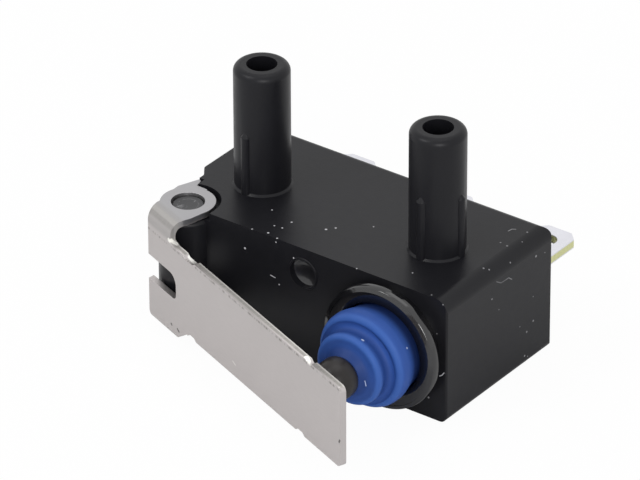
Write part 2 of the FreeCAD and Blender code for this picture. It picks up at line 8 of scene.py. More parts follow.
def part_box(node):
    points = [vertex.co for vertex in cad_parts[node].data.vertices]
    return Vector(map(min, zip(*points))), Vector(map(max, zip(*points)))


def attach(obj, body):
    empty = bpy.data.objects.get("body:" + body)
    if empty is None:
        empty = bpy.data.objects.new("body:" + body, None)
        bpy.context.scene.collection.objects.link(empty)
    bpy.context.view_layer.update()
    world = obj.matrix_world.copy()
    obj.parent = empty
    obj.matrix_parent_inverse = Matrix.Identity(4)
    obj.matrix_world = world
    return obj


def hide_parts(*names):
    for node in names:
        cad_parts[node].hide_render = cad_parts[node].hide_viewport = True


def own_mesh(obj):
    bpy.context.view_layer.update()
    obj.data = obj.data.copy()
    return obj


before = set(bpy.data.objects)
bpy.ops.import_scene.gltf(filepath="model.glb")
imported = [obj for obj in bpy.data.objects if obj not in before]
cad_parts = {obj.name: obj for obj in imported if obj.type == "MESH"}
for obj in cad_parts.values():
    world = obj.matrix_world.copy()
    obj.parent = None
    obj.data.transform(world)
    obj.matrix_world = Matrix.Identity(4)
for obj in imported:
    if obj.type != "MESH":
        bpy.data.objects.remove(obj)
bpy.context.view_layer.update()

# A millimetre in metres, and the distance in metres within which two points are one
MM = 0.001
MERGE_DISTANCE = 1e-7

# Camera: the photograph's viewing angle, fitted to the housing's edges
CAMERA_AZIMUTH = 36.55
CAMERA_ELEVATION = 30.62
CAMERA_ROLL = -0.196
CAMERA_DISTANCE = 255.3 * MM
CAMERA_TARGET = Vector((-2.401, 0.975, 2.695)) * MM
PICTURE_WIDTH = 640
FOCAL_PIXELS = 6698
SENSOR_WIDTH = 36.0

# Lamps: place and side in metres, and watts
LAMPS = {
    "left_lamp": ((-0.21, -0.31, 0.41), 0.2, 0.7),
    "right_lamp": ((0.35, -0.39, 0.18), 0.22, 1.05),
    "top_lamp": ((0.0, 0.05, 0.5), 0.35, 0.32)}

# World: its strength as light on the object, and where it is seen or mirrored
WORLD_LIGHT = 0.6
WORLD_SEEN = 1.0

# Floor: half the side of a square just under the object, and the white glow that the camera sees
FLOOR_HALF = 0.6
FLOOR_LEVEL = -0.02 * MM
FLOOR_GLOW = 0.96

# Retaining ring: its foot is drawn in, as depth and height, and its face is a low dome
RING_HEIGHT = 0.82 * MM
RING_INNER_RADIUS = 1.85 * MM
RING_LIP_ROUND = 0.3 * MM
RING_FOOT = (0.26 * MM, 0.3 * MM)
RING_CLAMP_RADIUS = 2.28 * MM
RING_DOME_FALL = 0.12 * MM
RING_DOME_ROUND = 0.9 * MM
RING_MOUTH_ROUND = 0.12 * MM

# The housing's front face, which the ring stands out from
FRONT = float(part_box("boot_ring")[0][1]) + RING_HEIGHT

# Vent in the front: its place across and up, and its radius
VENT_PLACE = (0.06 * MM, 4.19 * MM)
VENT_RADIUS = 0.59 * MM

# Boot tiers, as radius and height above the front, and the mouth's dish as radius and depth
BOOT_FOOT_RADIUS = 1.78 * MM
BOOT_BELLY = (1.96 * MM, 1.4 * MM)
BOOT_RIM = (1.94 * MM, 1.93 * MM)
BOOT_RIM_ROUND = 0.3 * MM
BOOT_GROOVE = (1.20 * MM, 1.62 * MM)
BOOT_COLLAR = (1.49 * MM, 2.70 * MM)
BOOT_DISH = (0.95 * MM, 0.14 * MM)
BOOT_LIP_EDGE = 0.06 * MM
BOOT_SKIN = 0.28 * MM

# Plunger: neck as radius, height above the front and length, flange and spigot as radius and length
PLUNGER_RADIUS = 0.83 * MM
NOSE_ROUND = 0.2 * MM
NECK = (0.62 * MM, 2.04 * MM, 0.94 * MM)
FLANGE = (1.0 * MM, 0.3 * MM)
FLANGE_DEPTH = 1.53 * MM
CORE_RADIUS = 0.5 * MM
SPIGOT = (0.3 * MM, 0.3 * MM)
PLUNGER_TRAVEL = 1.05 * MM
BOOT_GAP = 0.03 * MM

# Bar on the plunger's core that the snap spring hangs on
HOOK_SIDE = 0.3 * MM
HOOK_WIDTH = 0.5 * MM
HOOK_SETBACK = 0.3 * MM

# Springs, as wire thickness, coil radius and turns, and the snap spring's loops
SNAP_SPRING = (0.12 * MM, 0.36 * MM, 13)
RETURN_SPRING = (0.13 * MM, 0.46 * MM, 3.5)
LOOP_RADIUS = 0.2 * MM
LOOP_SWEEP = (-0.42, 0.42)

# Contact rivets: thickness of a head, its crown and its rolled edge with two heads or one
HEAD_THICKNESS = 0.15 * MM
HEAD_CROWN = 0.02 * MM
HEAD_EDGES = (0.07 * MM, 0.06 * MM)

# Hinge pin: the dish in its ends and its chamfer
PIN_DISH = 0.05 * MM
PIN_CHAMFER = 0.05 * MM

# Resin: its sag, the reach of its climb beside a terminal, and half a terminal's width and thickness
RESIN_SAG = 0.1 * MM
RESIN_CLIMB = 0.15 * MM
TERMINAL_HALF_WIDTH = 0.85 * MM
TERMINAL_HALF_SHEET = 0.19 * MM

# Degrees between the lever at rest and the front
LEVER_OPEN = 21.94

# Lever in its own frame: the strip's outer face, and the heights of its edge and of the ear's inside
STRIP_FACE = -1.50 * MM
STRIP_EDGE = 1.70 * MM
EAR_INSIDE = 2.26 * MM


class Wire:
    """A shader socket. Arithmetic on it adds Math nodes."""

    def __init__(self, net, socket):
        self.net = net
        self.socket = socket

    def math(self, operation, *values):
        """A Math node on some values."""
        return self.net.add("ShaderNodeMath", values, operation=operation)

    def __add__(self, other):
        return self.math("ADD", self, other)

    def __sub__(self, other):
        return self.math("SUBTRACT", self, other)

    def __mul__(self, other):
        return self.math("MULTIPLY", self, other)

    def __rsub__(self, other):
        return self.math("SUBTRACT", other, self)

    def __gt__(self, other):
        return self.math("GREATER_THAN", self, other)

    def __lt__(self, other):
        return self.math("LESS_THAN", self, other)

    def __or__(self, other):
        return self.math("MAXIMUM", self, other)

    def size(self):
        """The value without its sign."""
        return self.math("ABSOLUTE", self)

    def clamp(self):
        """The value kept between 0 and 1."""
        return self.net.add("ShaderNodeClamp", {"Value": self})


class Net:
    """One material's nodes."""

    def __init__(self, name):
        self.material = bpy.data.materials.new(name)
        self.material.use_nodes = True
        self.tree = self.material.node_tree
        self.shader = self.tree.nodes["Principled BSDF"]

    def add(self, kind, inputs=None, output=0, **settings):
        """Adds a node of a type: its settings first, then its inputs by name or in order."""
        node = self.tree.nodes.new(kind)
        for key, value in settings.items():
            setattr(node, key, value)
        pairs = inputs.items() if isinstance(inputs, dict) else enumerate(inputs or ())
        for key, value in pairs:
            self.put(node.inputs[key], value)
        return Wire(self, node.outputs[output])

    def put(self, socket, value):
        """Links a wire to a socket, or sets the socket's own value."""
        if isinstance(value, Wire):
            self.tree.links.new(value.socket, socket)
        elif isinstance(value, tuple) and len(value) == 3 and len(socket.default_value) == 4:
            socket.default_value = (*value, 1.0)
        else:
            socket.default_value = value

    def set(self, **inputs):
        """Sets or links the main shader's sockets, written with underscores for spaces."""
        for key, value in inputs.items():
            self.put(self.shader.inputs[key.replace("_", " ")], value)

    def object_points(self):
        """Object coordinates, which are metres in the part's own frame."""
        return self.add("ShaderNodeTexCoord", output="Object")

    def stretched(self, points, scale, turn=(0.0, 0.0, 0.0)):
        """Points turned and then scaled on each axis, so that a pattern runs along one of them."""
        return self.add("ShaderNodeMapping", {"Vector": points, "Scale": scale, "Rotation": turn})

    def noise(self, points, per_metre, detail=4.0):
        """Soft noise from 0 to 1 with so many cells to the metre."""
        return self.add("ShaderNodeTexNoise", {
            "Vector": points, "Scale": per_metre, "Detail": detail, "Roughness": 0.55})

    def mix(self, factor, first, second):
        """The first colour where the factor is 0, the second where it is 1."""
        return self.add("ShaderNodeMix", {0: factor, 6: first, 7: second}, output=2, data_type="RGBA")

    def vector(self, operation, *values, output=0):
        """A Vector Math node on some values."""
        return self.add("ShaderNodeVectorMath", values, output, operation=operation)

    def parts(self, points):
        """The x, y and z of a point."""
        split = self.tree.nodes.new("ShaderNodeSeparateXYZ")
        self.put(split.inputs[0], points)
        return [Wire(self, socket) for socket in split.outputs]

    def fade(self, value, start, end):
        """0 at start, 1 at end, smooth between them."""
        return self.add("ShaderNodeMapRange", {"Value": value, "From Min": start, "From Max": end},
                        interpolation_type="SMOOTHSTEP")

    def near(self, value, place, reach, core):
        """1 where a value is within the core of a place, 0 beyond its reach."""
        return self.fade((value - place).size(), reach, core)

    def sprinkle(self, points, per_metre, size, patches, limit):
        """Fine dots, so many cells to the metre, kept where a slower noise is over a limit."""
        cells = self.add("ShaderNodeTexVoronoi", {"Vector": points, "Scale": per_metre}, output="Distance")
        return (cells < size) * (self.noise(points, patches, 1.0) > limit)

    def from_axis(self, points, weights=(1.0, 0.0, 1.0)):
        """Distance from the line through the origin along the axis that has no weight."""
        return self.vector("LENGTH", self.vector("MULTIPLY", points, weights), output="Value")

    def fleck(self, points, place, radius):
        """1 inside a small round fleck round a place in millimetres."""
        middle = tuple(MM * v for v in place)
        away = self.vector("DISTANCE", points, middle, output="Value")
        return self.fade(away, radius * MM, 0.6 * radius * MM)

    def strand(self, points, start, end, radius):
        """1 inside a fine straight strand between two places in millimetres."""
        first, last = (np.array(p) * MM for p in (start, end))
        along = last - first
        offset = self.vector("SUBTRACT", points, tuple(first))
        share = self.vector("DOT_PRODUCT", offset, tuple(along / (along @ along)), output="Value").clamp()
        nearest = self.vector("SCALE", tuple(along))
        self.put(nearest.socket.node.inputs["Scale"], share)
        away = self.vector("DISTANCE", offset, nearest, output="Value")
        return self.fade(away, radius * MM, 0.6 * radius * MM)

    def any_of(self, masks):
        """The largest of several masks."""
        found = masks[0]
        for mask in masks[1:]:
            found = found | mask
        return found

    def bump(self, height, distance, strength, below=None):
        """Relief of a height in metres, laid over the relief below it."""
        inputs = {"Height": height, "Distance": distance, "Strength": strength}
        if below is not None:
            inputs["Normal"] = below
        return self.add("ShaderNodeBump", inputs)


def srgb(red, green, blue):
    """A colour from its picture values of 0 to 255, as linear light."""
    return tuple(
        (v / 255 / 12.92) if v / 255 <= 0.04045 else ((v / 255 + 0.055) / 1.055) ** 2.4
        for v in (red, green, blue))


# Shapes

def outline(corners, steps=7):
    """Points of a profile whose (radius, height, round) corners are arcs that touch both their sides."""
    points = []
    places = np.array([c[:2] for c in corners])
    for i, corner in enumerate(corners):
        here, size = places[i], corner[2]
        if size == 0 or i in (0, len(corners) - 1):
            points.append(here[None])
            continue
        before = places[i - 1] - here
        after = places[i + 1] - here
        before, after = before / np.linalg.norm(before), after / np.linalg.norm(after)
        half = math.acos(float(np.clip(before @ after, -1, 1))) / 2
        inward = (before + after) / np.linalg.norm(before + after)
        centre = here + inward * size / math.sin(half)
        first = here + before * size / math.tan(half) - centre
        last = here + after * size / math.tan(half) - centre
        sweep = math.pi - 2 * half
        share = np.linspace(0, 1, steps)[:, None]
        arc = (first * np.sin((1 - share) * sweep) + last * np.sin(share * sweep)) / math.sin(sweep)
        points.append(centre + arc)
    return np.concatenate(points)


def turned(profile, centre, axis="Y", sides=128):
    """Surface of revolution: a profile of (radius, height) turned about a line along Y or Z,
    so a point is centre + radius cos t across, radius sin t the other way, and height along."""
    turn = np.linspace(0, 2 * np.pi, sides + 1)
    radius, height = profile[:, :1], profile[:, 1:]
    first, second = radius * np.cos(turn), radius * np.sin(turn)
    along = height + 0 * turn
    if axis == "Y":
        return np.stack((centre[0] + first, along, centre[2] + second), axis=-1)
    return np.stack((centre[0] + first, centre[1] + second, along), axis=-1)


def tube(path, outward, thickness, sides=12):
    """Round wire along a path: a ring of radius thickness / 2 round each point, in the plane of
    outward and of outward crossed with the path's direction, closed to a point at both ends."""
    along = np.gradient(path, axis=0)
    along /= np.linalg.norm(along, axis=1, keepdims=True)
    outward = outward - along * np.sum(outward * along, axis=1, keepdims=True)
    outward /= np.linalg.norm(outward, axis=1, keepdims=True)
    across = np.cross(along, outward)
    turn = np.linspace(0, 2 * np.pi, sides + 1)[None, :, None]
    size = np.full(len(path), thickness / 2)
    size[[0, -1]] = 0
    ring = np.cos(turn) * outward[:, None] + np.sin(turn) * across[:, None]
    return path[:, None] + size[:, None, None] * ring


def coil(start, end, radius, thickness, turns, closed=0.0, per_turn=32):
    """Helix about the line from start to end: the height grows with the angle, and hardly at all
    over the closed turns at each end."""
    start, end = np.array(start), np.array(end)
    line = end - start
    length = np.linalg.norm(line) - thickness
    axis = line / np.linalg.norm(line)
    side = np.cross(axis, (0.0, 0.0, 1.0))
    side /= np.linalg.norm(side)
    other = np.cross(axis, side)
    total = turns + 2 * closed
    angle = np.linspace(0, total, int(total * per_turn) + 1)
    closed_rise = closed * thickness * 1.02
    rise = np.interp(angle, (0, closed, closed + turns, total),
                     (0, closed_rise, length - closed_rise, length)) if closed else length * angle / total
    turn = 2 * np.pi * angle[:, None]
    outward = np.cos(turn) * side + np.sin(turn) * other
    path = start + axis * (rise[:, None] + thickness / 2) + (radius * outward)
    return tube(path, outward, thickness)


def hook_loop(centre, flat, up, radius, thickness, sweep):
    """Arc of wire: centre + radius (cos t flat + sin t up) over a sweep in turns."""
    turn = 2 * np.pi * np.linspace(sweep[0], sweep[1], 36)[:, None]
    outward = np.cos(turn) * np.array(flat) + np.sin(turn) * np.array(up)
    return tube(np.array(centre) + radius * outward, outward, thickness)


def soft_bar(low, high, round_by, axis=0):
    """Bar with rounded edges: a rounded rectangle carried from low to high along one axis,
    drawn in by the rounding at each end and closed there."""
    low, high = np.array(low), np.array(high)
    others = [i for i in range(3) if i != axis]
    centre = (low + high) / 2
    half = (high - low) / 2
    quarter = np.linspace(0, np.pi / 2, 6)
    turn = np.concatenate([quarter + k * np.pi / 2 for k in range(4)] + [[2 * np.pi]])
    sign_a = np.concatenate([np.full(6, s) for s in (1, -1, -1, 1)] + [[1]])
    sign_b = np.concatenate([np.full(6, s) for s in (1, 1, -1, -1)] + [[1]])
    ends = np.linspace(0, np.pi / 2, 5)
    inset = np.concatenate(([2 * half.max()], round_by * (1 - np.sin(ends)),
                            round_by * (1 - np.sin(ends[::-1])), [2 * half.max()]))
    place = np.concatenate(([low[axis]], low[axis] + round_by * (1 - np.cos(ends)),
                            high[axis] - round_by * (1 - np.cos(ends[::-1])), [high[axis]]))
    grid = np.zeros((len(place), len(turn), 3))
    grid[:, :, axis] = place[:, None]
    for index, sign, wave in ((others[0], sign_a, np.cos(turn)), (others[1], sign_b, np.sin(turn))):
        corner = half[index] - round_by
        reach = np.clip(corner * sign + round_by * wave, -half[index], half[index])
        shrink = np.clip(1 - inset / half[index], 0, 1)
        grid[:, :, index] = centre[index] + shrink[:, None] * reach
    return grid


def make_piece(name, grids, material, body="root", replaces=(), sharp=40):
    """One mesh from grids of points, each four neighbours making a face. Points that meet at seams
    and poles are merged and the faces turned outwards."""
    mesh = bpy.data.meshes.new(name)
    corners, faces, count = [], [], 0
    for grid in grids:
        rows, columns = grid.shape[:2]
        index = np.arange(rows * columns).reshape(rows, columns) + count
        faces.append(np.stack((index[:-1, :-1], index[1:, :-1], index[1:, 1:], index[:-1, 1:]),
                              axis=-1).reshape(-1, 4))
        corners.append(grid.reshape(-1, 3))
        count += rows * columns
    mesh.from_pydata(np.concatenate(corners).tolist(), [], np.concatenate(faces).tolist())
    work = bmesh.new()
    work.from_mesh(mesh)
    bmesh.ops.remove_doubles(work, verts=work.verts, dist=MERGE_DISTANCE)
    bmesh.ops.dissolve_degenerate(work, edges=work.edges, dist=1e-8)
    bmesh.ops.recalc_face_normals(work, faces=work.faces)
    work.to_mesh(mesh)
    work.free()
    mesh.shade_smooth()
    mesh.set_sharp_from_angle(angle=math.radians(sharp))
    piece = bpy.data.objects.new(name, mesh)
    bpy.context.scene.collection.objects.link(piece)
    mesh.materials.append(material)
    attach(piece, body)
    if replaces:
        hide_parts(*replaces)
    return piece


def soften(node, material, width, body="root"):
    """A copy of a solid with its flat faces joined up and its sharp edges rounded over."""
    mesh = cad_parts[node].data.copy()
    work = bmesh.new()
    work.from_mesh(mesh)
    bmesh.ops.remove_doubles(work, verts=work.verts, dist=MERGE_DISTANCE)
    bmesh.ops.dissolve_limit(work, angle_limit=math.radians(1), verts=work.verts, edges=work.edges)
    work.to_mesh(mesh)
    work.free()
    mesh.shade_smooth()
    mesh.set_sharp_from_angle(angle=math.radians(30))
    mesh.materials.clear()
    mesh.materials.append(material)
    piece = bpy.data.objects.new(node + "_soft", mesh)
    bpy.context.scene.collection.objects.link(piece)
    edge = piece.modifiers.new("edges", "BEVEL")
    edge.width = width
    edge.segments = 2
    edge.limit_method = "ANGLE"
    edge.angle_limit = math.radians(35)
    edge.harden_normals = True
    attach(piece, body)
    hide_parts(node)
    return piece


# Finishes

# Dust in millimetres, as a place and a radius, and fibres as a share of brightness and two ends
TOP_DUST = (
    ((-1.45, -2.09, 5.27), 0.05), ((-1.48, -2.64, 5.27), 0.045), ((-0.09, -1.76, 5.27), 0.06),
    ((0.14, -1.46, 5.27), 0.05), ((1.23, -0.55, 5.27), 0.035), ((-2.34, -3.37, 5.27), 0.04),
    ((-1.69, -3.24, 5.27), 0.055), ((-1.18, -3.36, 5.27), 0.045), ((-1.21, -3.4, 5.11), 0.035),
    ((-1.82, -2.68, 5.27), 0.04), ((-2.59, -1.8, 5.27), 0.04), ((2.52, -3.38, 5.27), 0.035),
    ((4.38, -2.42, 5.27), 0.035), ((-2.67, -3.4, 4.33), 0.055), ((-0.39, -3.4, 4.71), 0.04),
    ((-1.07, -3.4, 3.31), 0.035))
END_DUST = (
    ((6.11, 2.52, 5.27), 0.045), ((5.74, 1.31, 5.27), 0.04), ((6.08, 1.25, 5.27), 0.05),
    ((6.32, 1.89, 5.22), 0.03), ((6.65, 2.34, 4.5), 0.06), ((6.65, 2.92, 4.38), 0.03),
    ((6.28, -0.55, 5.24), 0.045), ((6.43, -0.4, 5.16), 0.04), ((6.59, 0.74, 4.97), 0.04),
    ((6.65, -0.51, 4.01), 0.045), ((6.65, -0.05, 3.33), 0.03), ((6.65, 2.19, 2.81), 0.03),
    ((6.65, 2.22, 1.73), 0.05), ((6.65, 1.34, 1.9), 0.03), ((6.65, 1.8, 1.45), 0.05),
    ((6.65, 1.68, 0.45), 0.05), ((6.65, 1.88, 0.33), 0.035), ((5.87, -3.29, 5.27), 0.04),
    ((6.46, -3.4, 5.11), 0.035), ((6.2, -3.4, 3.77), 0.03), ((5.84, -3.4, 0.86), 0.05))
END_DUST_SHARE = 0.45
FIBRES = (
    (0.6, (5.49, 2.17, 5.27), (5.52, 2.37, 5.27)), (0.6, (5.52, 2.37, 5.27), (5.64, 2.44, 5.27)),
    (0.2, (6.65, -0.23, 4.63), (6.65, 0.06, 4.44)), (0.2, (6.65, 0.06, 4.44), (6.65, 0.39, 4.42)),
    (0.3, (6.65, 0.39, 4.42), (6.65, 0.56, 4.42)), (0.3, (6.65, 0.56, 4.42), (6.65, 0.77, 4.25)),
    (1.0, (-1.48, -3.4, 3.58), (-1.26, -3.4, 3.54)), (0.9, (6.34, -3.4, 1.98), (6.44, -3.4, 2.05)),
    (0.9, (6.44, -3.4, 2.05), (6.54, -3.4, 2.19)))
FIBRE_RADIUS = 0.022
BOOT_SPECKS = (
    ((4.52, -5.74, 4.05), 0.08), ((4.99, -5.29, 3.93), 0.05), ((5.75, -4.66, 3.61), 0.05),
    ((5.17, -5.18, 3.36), 0.04))
BOOT_HAIR = (4.93, -6.17, 2.64), (4.94, -6.11, 2.39)
BOOT_HAIR_RADIUS = 0.018

# Marks on the lever, in millimetres in its own frame: both ends of each, and the marks' radii
EDGE_BURRS = (
    ((1.10, -1.48, 1.83), (1.36, -1.31, 1.75)), ((2.25, -1.26, 1.60), (2.68, -1.33, 1.60)),
    ((10.80, -1.38, 1.70), (11.25, -1.46, 1.67)))
BURR_RADIUS = 0.11
SCRATCH = (5.72, -1.50, -1.10), (5.90, -1.50, -1.17)
SCRATCH_RADIUS = 0.04
PITS = (
    ((1.64, -1.50, -1.80), (1.75, -1.50, -1.87)), ((1.18, -1.50, -1.80), (1.22, -1.50, -1.84)),
    ((13.25, -1.50, -0.62), (13.30, -1.50, -0.52)))
PIT_RADIUS = 0.05


def inside_vent(net, at):
    """1 on the vent's walls and floor, 0 on the housing's face round it and deep inside the case."""
    across, up = VENT_PLACE
    away = net.from_axis(net.vector("SUBTRACT", at, (across, 0.0, up)))
    depth = net.parts(at)[1]
    within = net.fade(away, VENT_RADIUS + 0.03 * MM, VENT_RADIUS)
    sunk = net.fade(depth, FRONT + 0.02 * MM, FRONT + 0.06 * MM)
    return within * sunk * net.fade(depth, FRONT + 0.5 * MM, FRONT + 0.4 * MM)


def moulded_black():
    """Black moulded plastic: spark-eroded grain, faint flow clouds, pale dust flecks and fibres,
    and a smooth glossy vent."""
    net = Net("moulded_black")
    at = net.object_points()
    grain = net.noise(at, 14000.0, 3.0)
    clouds = net.noise(at, 380.0, 4.0)
    tint = net.mix(clouds, srgb(20, 20, 23), srgb(28, 28, 32))
    flecks = [net.fleck(at, place, size) for place, size in TOP_DUST]
    flecks += [net.fleck(at, place, size) * END_DUST_SHARE for place, size in END_DUST]
    strands = [net.strand(at, first, last, FIBRE_RADIUS) * share for share, first, last in FIBRES]
    scattered = net.sprinkle(at, 900.0, 0.035, 500.0, 0.64) * 0.4
    dust = net.any_of(flecks + strands + [scattered])
    net.set(
        Coat_Weight=inside_vent(net, at),
        Coat_Roughness=0.12,
        Base_Color=net.mix(dust, tint, srgb(196, 196, 200)),
        Roughness=net.noise(at, 3000.0, 3.0) * 0.12 + clouds * 0.1 + dust * 0.3 + 0.24,
        Normal=net.bump(grain, 0.000004, 0.5, net.bump(dust, 0.00002, 0.4)),
        Specular_IOR_Level=0.2,
    )
    return net.material


def lever_steel():
    """Cold-rolled stainless strip: fine grain along its length, mottled cut edges with burrs painted
    near-white as glints, a darker tone painted on the ears as shade, a rougher bend with painted shade over
    it, painted shade along the upper edge where it rolls over, a scratch and a few dark pits."""
    net = Net("lever_steel")
    at = net.object_points()
    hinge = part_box("hinge_pin")
    centre = (hinge[0] + hinge[1]) / 2
    moved = net.vector("SUBTRACT", at, tuple(centre))
    local = net.stretched(moved, (1.0, 1.0, 1.0), (0.0, 0.0, math.radians(LEVER_OPEN)))
    depth, up = net.parts(local)[1:]
    inner = net.fade(depth, STRIP_FACE + 0.17 * MM, STRIP_FACE + 0.23 * MM)
    streaks = net.noise(net.stretched(local, (0.12, 1.0, 1.0)), 16000.0, 3.0)
    blotches = net.noise(local, 500.0, 4.0)
    tint = net.mix(blotches, srgb(190, 185, 184), srgb(196, 191, 190))
    tint = net.mix(streaks * 0.25, tint, srgb(178, 173, 172))
    # painted shade: the ears get a darker tone of the same steel, so their upturned faces read no brighter
    # than the strip
    ear_shade = net.fade(up.size(), EAR_INSIDE + 0.04 * MM, EAR_INSIDE + 0.10 * MM)
    tint = net.mix(ear_shade * inner, tint, srgb(172, 171, 173))
    face = net.fade(depth, STRIP_FACE + 0.10 * MM, STRIP_FACE + 0.04 * MM)
    rough_cut = net.noise(net.stretched(local, (1.0, 0.25, 0.25)), 9000.0, 4.0)
    edges = net.fade(up.size(), STRIP_EDGE - 0.06 * MM, STRIP_EDGE - 0.01 * MM)
    cut = (1 - face) * edges * net.fade(depth, STRIP_FACE + 0.42 * MM, STRIP_FACE + 0.34 * MM)
    sheared = net.mix(rough_cut, srgb(112, 110, 106), srgb(196, 193, 188))
    tint = net.mix(cut * 0.85, tint, sheared)
    tint = net.mix(cut * inner, tint, srgb(206, 204, 200))
    # the bend is rougher, and a darker tone is painted over it as shade on its highlight
    bend_roughness_and_shade = net.fade(up, STRIP_EDGE + 0.02 * MM, STRIP_EDGE + 0.25 * MM)
    bend_roughness_and_shade = bend_roughness_and_shade * net.fade(depth, STRIP_FACE + 0.7 * MM, STRIP_FACE + 0.45 * MM)
    tint = net.mix(bend_roughness_and_shade * 0.7, tint, srgb(172, 170, 169))
    # burrs are real marks, painted near-white as glints
    burr_glints = [net.strand(local, *ends, BURR_RADIUS) for ends in EDGE_BURRS]
    tint = net.mix(net.any_of(burr_glints), tint, srgb(246, 245, 240))
    tint = net.mix(net.strand(local, *SCRATCH, SCRATCH_RADIUS) * 0.7, tint, srgb(226, 224, 220))
    pits = net.any_of([net.strand(local, *ends, PIT_RADIUS) for ends in PITS])
    # painted shade: a dark line along the upper edge where the strip rolls over
    line = net.near(up, STRIP_EDGE - 0.09 * MM, 0.07 * MM, 0.02 * MM)
    rolled_edge_shade = face * line * net.fade(rough_cut, 0.45, 0.62)
    tint = net.mix(rolled_edge_shade * 0.75, tint, srgb(122, 118, 112))
    net.set(
        Base_Color=net.mix(pits * 0.85, tint, srgb(60, 57, 54)),
        Metallic=1.0,
        Roughness=streaks * 0.1 + cut * 0.12 + bend_roughness_and_shade * 0.35 + 0.36,
        Normal=net.bump(streaks, 0.000004, 0.3, net.bump(rough_cut * cut, 0.00002, 0.5)),
    )
    return net.material


def silver_on_brass():
    """Silver-plated terminals: softly clouded plate on the faces, bare yellowish brass on the cut sides."""
    net = Net("silver_on_brass")
    at = net.object_points()
    low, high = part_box("common_terminal")
    side = net.near(net.parts(at)[2], float(low[2] + high[2]) / 2, 0.16 * MM, 0.12 * MM)
    clouds = net.noise(at, 700.0, 4.0)
    grain = net.noise(net.stretched(at, (1.0, 0.15, 1.0)), 15000.0, 3.0)
    plate = net.mix(clouds, srgb(214, 214, 220), srgb(232, 232, 238))
    brass = net.mix(net.noise(net.stretched(at, (1.0, 1.0, 0.2)), 6000.0, 4.0),
                    srgb(196, 196, 140), srgb(226, 228, 178))
    net.set(
        Base_Color=net.mix(side, plate, brass),
        Metallic=1.0,
        Roughness=grain * 0.1 + clouds * 0.08 + 0.27,
        Normal=net.bump(grain, 0.000003, 0.3),
    )
    return net.material


def boot_rubber():
    """Blue moulded rubber: satin skin with a faint bloom and a little lint, painted highlights on the rims
    of its tiers, and painted shade in the groove, round the mouth and at the foot by the ring."""
    net = Net("boot_rubber")
    at = net.object_points()
    bloom = net.noise(at, 650.0, 5.0)
    skin = net.noise(at, 7000.0, 3.0)
    lint = net.sprinkle(at, 1400.0, 0.06, 800.0, 0.58) * 0.6
    specks = [net.fleck(at, place, size) for place, size in BOOT_SPECKS]
    lint = net.any_of([lint, net.strand(at, *BOOT_HAIR, BOOT_HAIR_RADIUS)] + specks)
    centre = middle_of("boot")
    offset = net.vector("SUBTRACT", at, (float(centre[0]), FRONT, float(centre[2])))
    across = net.from_axis(offset)
    height = 0.0 - net.parts(offset)[1]
    # painted shade: the rubber darkens towards its foot, where the ring's lip shades it
    foot = net.fade(height, 1.35 * MM, 0.85 * MM)
    # painted shade in the groove between the base tier and the collar
    valley_shade = net.fade(across, 1.50 * MM, 1.38 * MM) * net.fade(height, 2.5 * MM, 2.25 * MM)
    # painted shade round the mouth, where the plunger's nose shades it
    mouth = net.fade(across, 1.15 * MM, 0.85 * MM)
    # painted highlights on the crests of the collar and of the base tier's rim
    upper_rim_highlight = net.near(height, BOOT_COLLAR[1] - 0.1 * MM, 0.2 * MM, 0.05 * MM)
    lower_rim_highlight = net.near(height, BOOT_RIM[1] - 0.07 * MM, 0.14 * MM, 0.03 * MM)
    rim_highlights = upper_rim_highlight * net.fade(across, 1.2 * MM, 1.35 * MM)
    rim_highlights = rim_highlights | lower_rim_highlight * net.fade(across, 1.55 * MM, 1.65 * MM)
    tint = net.mix(bloom, srgb(44, 76, 146), srgb(53, 87, 160))
    # mixes in the painted shade of the groove and of the mouth
    tint = net.mix(net.any_of([valley_shade * 0.4, mouth * 0.55]), tint, srgb(21, 40, 90))
    # painted shade at the foot by the ring
    tint = net.mix(foot * 0.8, tint, srgb(16, 25, 62))
    # painted highlights on the rims
    tint = net.mix(rim_highlights * 0.4, tint, srgb(66, 108, 184))
    net.set(
        Base_Color=net.mix(lint, tint, srgb(186, 198, 226)),
        Roughness=bloom * 0.12 + skin * 0.06 + 0.4,
        Normal=net.bump(skin, 0.000006, 0.35, net.bump(bloom, 0.00003, 0.25)),
        Specular_IOR_Level=0.18,
    )
    return net.material


def glossy_black():
    """Hard glossy black: slightly wavy moulded skin with faint smears and lint."""
    net = Net("glossy_black")
    at = net.object_points()
    waves = net.noise(at, 750.0, 3.0)
    smears = net.noise(net.stretched(at, (1.0, 0.4, 1.6)), 1500.0, 5.0)
    lint = net.sprinkle(at, 1000.0, 0.05, 600.0, 0.6)
    net.set(
        Base_Color=net.mix(lint * 0.5, srgb(17, 17, 20), srgb(190, 190, 195)),
        Roughness=smears * 0.1 + 0.05,
        Normal=net.bump(smears, 0.00003, 0.3, net.bump(waves, 0.00006, 0.35)),
        Specular_IOR_Level=0.85,
    )
    return net.material


def plunger_black():
    """Dark plunger, semi-gloss, with soft clouds and fine lines round its axis."""
    net = Net("plunger_black")
    at = net.object_points()
    clouds = net.noise(at, 900.0, 4.0)
    rings = net.noise(net.stretched(at, (0.3, 1.0, 0.3)), 9000.0, 2.0)
    net.set(
        Base_Color=net.mix(clouds, srgb(29, 26, 26), srgb(37, 33, 32)),
        Roughness=clouds * 0.12 + rings * 0.06 + 0.24,
        Normal=net.bump(rings, 0.000006, 0.3),
        Specular_IOR_Level=0.35,
    )
    return net.material


